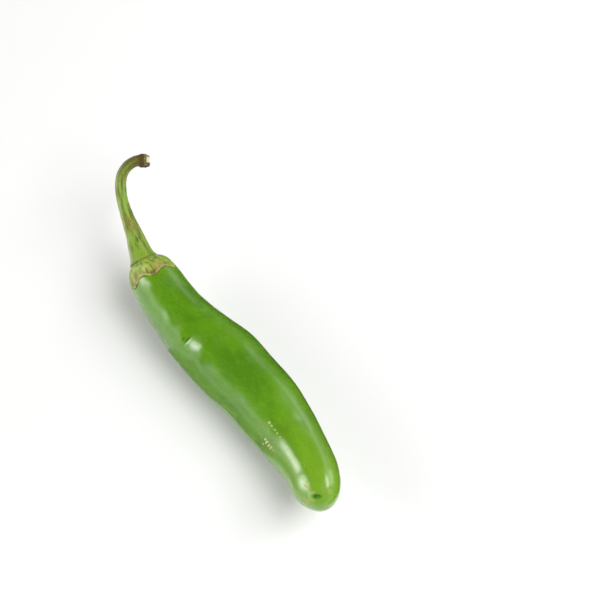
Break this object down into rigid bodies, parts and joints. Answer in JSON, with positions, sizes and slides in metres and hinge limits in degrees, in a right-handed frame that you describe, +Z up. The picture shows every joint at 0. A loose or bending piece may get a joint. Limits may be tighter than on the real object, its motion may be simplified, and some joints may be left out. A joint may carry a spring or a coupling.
{
  "type": "chilli pepper",
  "caption": "Fresh green chilli pepper lying on its side: long, blunt, slightly bent pod with a small calyx cap and a hooked stem.",
  "frame": {"origin": "middle of the small flat on the pod's belly that the pepper rests on", "axes": "+X along the pod towards its tip, +Z up, the stem hooks towards +Y"},
  "size_m": [0.1095, 0.0237, 0.0246],
  "materials": {
    "pod_skin": "smooth waxy skin, stands in for fresh plant skin",
    "calyx": "dull leafy surface with corky patches along the rim",
    "stem": "satin fibrous green stem, dry at the broken end"
  },
  "bodies": {
    "root": {"pod": "pod_skin", "calyx": "calyx", "stem": "stem"}
  },
  "joints": []
}
